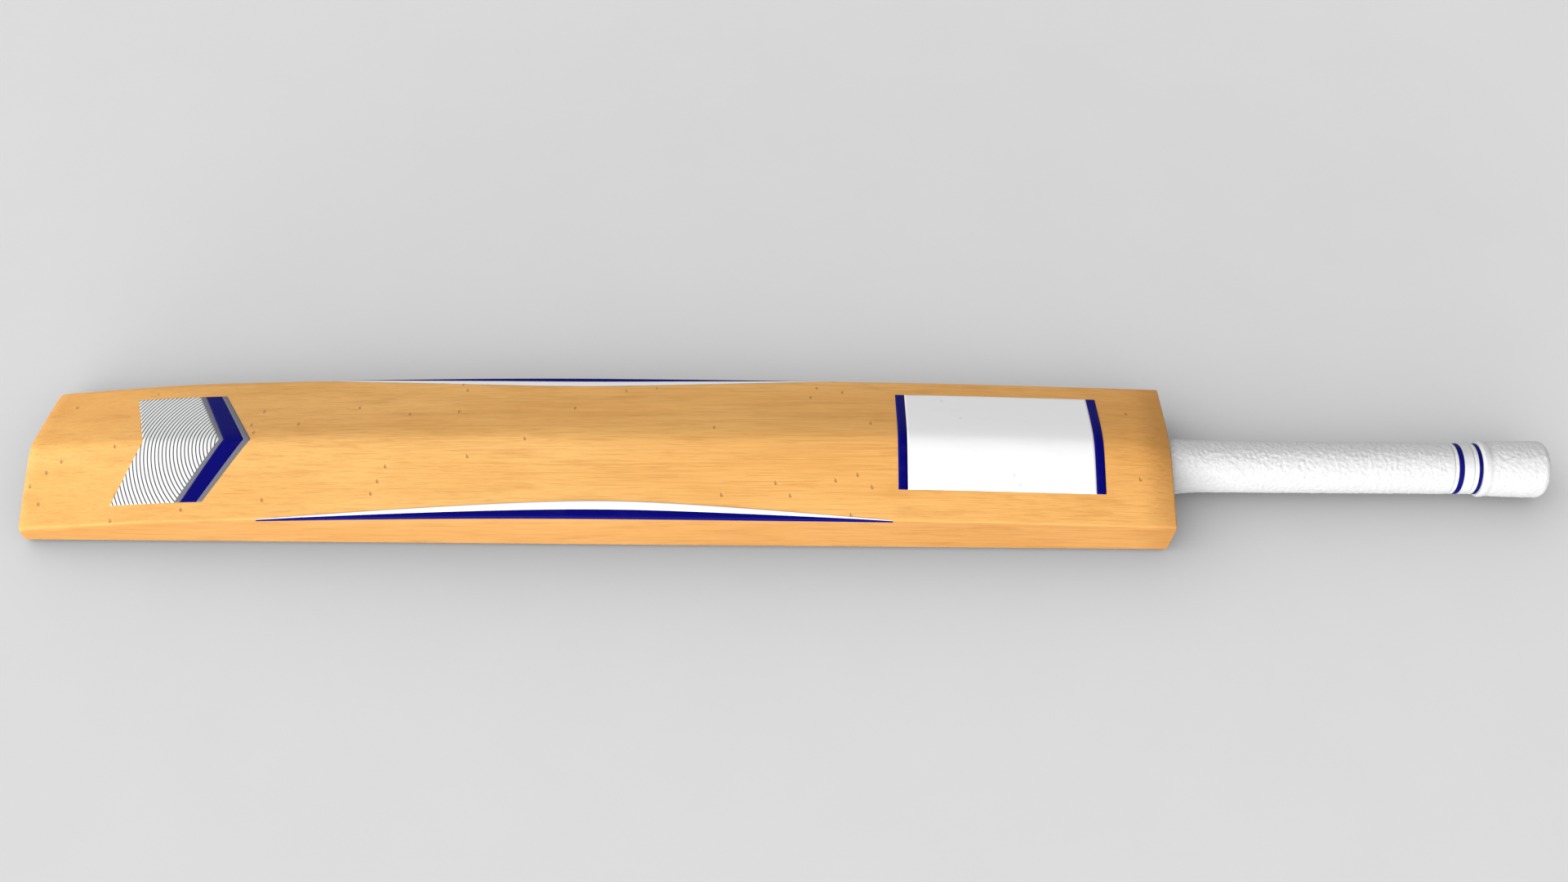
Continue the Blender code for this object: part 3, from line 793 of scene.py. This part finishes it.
def film_material(name, colour, worn, arcs=False):
    """Printed film on wood: the grain and the pits show through it faintly, the pits with a little painted
    shade.
    """
    g = Graph(name, colour, 0.4)
    grain = g.noise((26, 620, 620), 4, 0.6)
    scuffs = g.noise((70, 150, 150), 4, 0.6)
    tone = g.mix(g.remap(scuffs, 0.56, 0.74, 0, 0.16), colour, worn)
    if arcs:
        tone = g.mix(arc_mask(g), tone, ARC_GREY)
    pits = g.pits(PIT_DENSITY * 0.7)
    # painted shade darkens the pits faintly
    g.colour(g.mix(g.math("MULTIPLY", pits, 0.15), tone, PIT_PAINTED_SHADE))
    g.roughness(g.remap(scuffs, 0.3, 0.7, 0.34, 0.5))
    g.bump(g.math("SUBTRACT", g.math("MULTIPLY", grain, 0.3), pits), FILM_RELIEF, 0.8)
    g.shader.inputs["Specular IOR Level"].default_value = 0.06
    return g.mat


def arc_mask(g):
    """1 on the thin arcs that ring the chevron's tip, else 0."""
    along = g.math("SUBTRACT", g.axis("X"), X_TOE + ARC_CENTRE[0])
    across = g.math("SUBTRACT", g.axis("Y"), ARC_CENTRE[1])
    squares = g.math("ADD", g.math("MULTIPLY", along, along), g.math("MULTIPLY", across, across))
    radius = g.math("SQRT", squares)
    turns = g.math("DIVIDE", g.math("SUBTRACT", radius, ARC_START), ARC_PITCH)
    off_line = g.math("ABSOLUTE", g.math("SUBTRACT", g.math("FRACT", g.math("ADD", turns, 0.5)), 0.5))
    return g.remap(off_line, ARC_LINE / 2 - 0.03, ARC_LINE / 2 + 0.03, 1.0, 0.0, smooth=True)


def floor_material():
    g = Graph("studio_floor", FLOOR, 0.75)
    mottling = g.noise((14, 14, 14), 4, 0.6)
    g.colour(g.mix(g.remap(mottling, 0.3, 0.7), FLOOR_DARK, FLOOR))
    g.roughness(g.remap(mottling, 0.3, 0.7, 0.7, 0.8))
    g.shader.inputs["Specular IOR Level"].default_value = 0.1
    return g.mat


# ---- build ----
willow = willow_material()
make_blade(willow)

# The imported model's own plain materials are called cane and spring_rubber too, so these lookups find
# those: cane_material and spring_material are reached only if it has none of that name.
for node, obj in NODES.items():
    if node.startswith("cane_strip"):
        obj.data.materials.clear()
        obj.data.materials.append(bpy.data.materials.get("cane") or cane_material())
    elif node.startswith("rubber_spring"):
        obj.data.materials.clear()
        obj.data.materials.append(bpy.data.materials.get("spring_rubber") or spring_material())
    elif node == "twine_binding":
        obj.data.materials.clear()
        obj.data.materials.append(twine_material())

white_film = film_material("label_white", LABEL_WHITE, (0.80, 0.80, 0.80))
arc_film = film_material("label_white_arcs", LABEL_WHITE, (0.80, 0.80, 0.80), arcs=True)
navy_film = film_material("label_navy", NAVY, (0.02, 0.02, 0.16))
grey_film = film_material("label_grey", TRIM_GREY, (0.26, 0.26, 0.30))

for node, first, last, mat, slot in (
        ("toe_label_white_field", CHEVRON_BACK, CHEVRON_FIELD_END, arc_film, "label_white"),
        ("toe_label_inner_grey_trim", CHEVRON_FIELD_END, CHEVRON_NAVY_START, grey_film, "label_grey"),
        ("toe_label_navy_band", CHEVRON_NAVY_START, CHEVRON_NAVY_END, navy_film, "label_navy"),
        ("toe_label_outer_grey_trim", CHEVRON_NAVY_END, CHEVRON_TIP, grey_film, "label_grey")):
    chevron_film(node + "_film", first, last, mat, slot, node)

for node, mat, slot in (("shoulder_label_toe_side_navy_band", navy_film, "label_navy"),
                        ("shoulder_label_white_panel", white_film, "label_white"),
                        ("shoulder_label_handle_side_navy_band", navy_film, "label_navy")):
    low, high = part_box(node)
    start, end = span(node)
    grow = PANEL_GROW if slot == "label_white" else 0.0
    panel_film(node + "_film", start - grow, end + grow, low[1], high[1], mat, slot, node)

for side, where in ((-1, "near"), (1, "far")):
    sizes = FLASHES[where]
    flash_film(f"edge_flash_{where}_navy_film", side, sizes, 0.0, sizes[3], navy_film, "label_navy",
               f"edge_flash_{where}_navy")
    flash_film(f"edge_flash_{where}_white_film", side, sizes, sizes[3], sizes[4], white_film, "label_white",
               f"edge_flash_{where}_white")

grip_rubber = rubber_material("grip_rubber", GRIP_WHITE, GRIP_DIRT_AND_SHADE, 0.00070)
cap_rubber = rubber_material("cap_rubber", GRIP_WHITE, GRIP_DIRT_AND_SHADE, 0.00040)
band_rubber = rubber_material("band_rubber", GRIP_WHITE, GRIP_DIRT_AND_SHADE, 0.00002)
navy_rubber = rubber_material("navy_rubber", NAVY, (0.02, 0.02, 0.14), 0.00002)
turned("grip_sleeve_moulded", grip_profile(), grip_rubber, "grip_rubber", "grip_sleeve", pebble=grip_pebble)
turned("lower_navy_ring", band_profile("grip_band_lower_navy"), navy_rubber, "navy_rubber",
       "grip_band_lower_navy")
turned("middle_white_ring", band_profile("grip_band_middle_white", BAND_GROOVE), band_rubber, "grip_rubber",
       "grip_band_middle_white")
turned("upper_navy_ring", band_profile("grip_band_upper_navy"), navy_rubber, "navy_rubber",
       "grip_band_upper_navy")
turned("end_cap_moulded", cap_profile(), cap_rubber, "cap_rubber", "handle_end_cap", closed=False,
       pebble=cap_pebble)

# ---- studio ----
bm = bmesh.new()
bmesh.ops.create_grid(bm, x_segments=24, y_segments=24, size=FLOOR_HALF)
mesh = bpy.data.meshes.new("studio_floor")
bm.to_mesh(mesh)
bm.free()
floor = bpy.data.objects.new("studio_floor", mesh)
floor.location.z = -FLOOR_DROP
bpy.context.scene.collection.objects.link(floor)
mesh.materials.append(floor_material())
floor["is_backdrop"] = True

world = bpy.data.worlds.new("soft_sky")
bpy.context.scene.world = world
world.use_nodes = True
sky = world.node_tree.nodes["Background"]
sky.inputs["Color"].default_value = (1, 1, 1, 1)
direction = world.node_tree.nodes.new("ShaderNodeTexCoord")
along_slant = world.node_tree.nodes.new("ShaderNodeVectorMath")
along_slant.operation = "DOT_PRODUCT"
along_slant.inputs[1].default_value = SKY_SLANT
strength = world.node_tree.nodes.new("ShaderNodeMath")
strength.operation = "MULTIPLY_ADD"
strength.inputs[1].default_value = SKY
strength.inputs[2].default_value = SKY * SKY_BASE
world.node_tree.links.new(direction.outputs["Generated"], along_slant.inputs[0])
world.node_tree.links.new(along_slant.outputs["Value"], strength.inputs[0])
world.node_tree.links.new(strength.outputs["Value"], sky.inputs["Strength"])

key_data = bpy.data.lights.new("low_soft_key", "AREA")
key_data.energy = KEY_WATTS
key_data.shape = "RECTANGLE"
key_data.size, key_data.size_y = KEY_SIZE
key = bpy.data.objects.new("low_soft_key", key_data)
key.location = KEY_AT
key.rotation_euler = (Vector((0, 0, AXIS_H)) - Vector(KEY_AT)).to_track_quat("-Z", "Y").to_euler()
bpy.context.scene.collection.objects.link(key)

# Camera: looks down across the bat from the side its near edge faces.
camera_data = bpy.data.cameras.new("camera")
camera_data.lens = CAMERA_LENS
camera_data.sensor_width = CAMERA_SENSOR
camera_data.clip_start = 0.05
camera = bpy.data.objects.new("camera", camera_data)
yaw = Matrix.Rotation(math.radians(CAMERA_YAW), 4, "Z")
pitch = Matrix.Rotation(math.radians(90 - CAMERA_DOWN), 4, "X")
roll = Matrix.Rotation(math.radians(CAMERA_ROLL), 4, "Z")
camera.matrix_world = Matrix.Translation(CAMERA_AT) @ yaw @ pitch @ roll
bpy.context.scene.collection.objects.link(camera)
bpy.context.scene.camera = camera
bpy.context.scene.view_settings.view_transform = "Standard"
bpy.context.scene.cycles.diffuse_bounces = 0      # contact shadows without colour spill

low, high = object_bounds()
